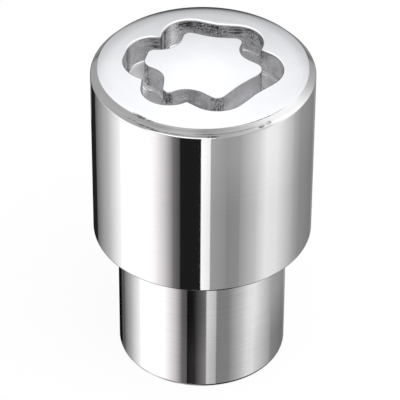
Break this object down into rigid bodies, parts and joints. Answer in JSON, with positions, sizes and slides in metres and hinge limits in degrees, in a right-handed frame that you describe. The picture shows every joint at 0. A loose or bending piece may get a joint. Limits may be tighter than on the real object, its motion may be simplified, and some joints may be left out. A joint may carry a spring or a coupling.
{
  "type": "locking lug nut",
  "caption": "Chrome shank-style locking lug nut with a round head, a wavy key groove round an island in its top face, and a blind threaded hole for a wheel stud.",
  "frame": {"origin": "centre of the shank's end face, on the surface that the nut stands on", "axes": "+Z along the nut's axis from the shank end to the key face, +X to the right and +Y away from the viewer in the picture"},
  "size_m": [0.0226, 0.0226, 0.0347],
  "materials": {
    "plated_steel": "polished"
  },
  "bodies": {
    "root": {"lug_nut": "plated_steel"}
  },
  "joints": []
}
